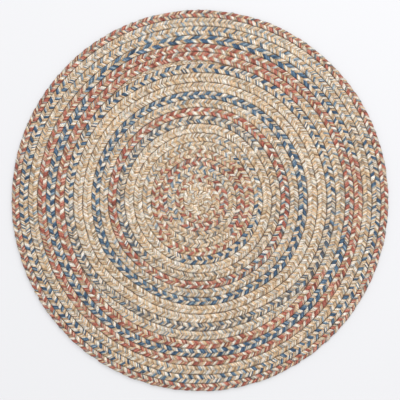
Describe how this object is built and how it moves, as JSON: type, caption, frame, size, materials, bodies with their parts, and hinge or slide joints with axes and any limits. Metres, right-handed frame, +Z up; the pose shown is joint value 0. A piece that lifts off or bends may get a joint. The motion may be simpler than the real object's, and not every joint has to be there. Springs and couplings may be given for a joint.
{
  "type": "round braided rug",
  "caption": "Round rug of braided wool, a coiled centre inside butted rings of braid laced edge to edge, lying flat on a floor.",
  "frame": {"origin": "middle of the rug's underside, on the floor", "axes": "+Z up out of the rug's top face; +X and +Y lie in the floor, with +Y along the slightly longer way across"},
  "size_m": [1.2196, 1.2346, 0.012],
  "materials": {
    "terracotta_plait": "matt heathered wool plait, terracotta with cream",
    "pale_blue_plait": "matt heathered wool plait, blue flecks among tan and cream",
    "tan_plait": "matt heathered wool plait, tan and cream with a little grey",
    "blue_and_red_plait": "matt heathered wool plait, slate blue that changes to terracotta part of the way round",
    "blue_plait": "matt heathered wool plait, slate blue with cream",
    "wheat_plait": "matt heathered wool plait, wheat and cream",
    "red_and_tan_coil": "matt heathered wool plait, terracotta, cream, tan and grey-blue in turn"
  },
  "bodies": {
    "root": {"coil": "red_and_tan_coil", "ring_01_terracotta": "terracotta_plait", "ring_02_pale_blue": "pale_blue_plait", "ring_03_tan": "tan_plait", "ring_04_blue_and_red": "blue_and_red_plait", "ring_05_red_and_blue": "blue_and_red_plait", "ring_06_terracotta": "terracotta_plait", "ring_07_pale_blue": "pale_blue_plait", "ring_08_wheat": "wheat_plait", "ring_09_wheat": "wheat_plait", "ring_10_blue": "blue_plait", "ring_11_tan": "tan_plait", "ring_12_terracotta": "terracotta_plait", "ring_13_pale_blue": "pale_blue_plait", "ring_14_wheat": "wheat_plait", "ring_15_tan": "tan_plait", "part_row_long": "tan_plait", "part_row_short": "wheat_plait"}
  },
  "joints": []
}
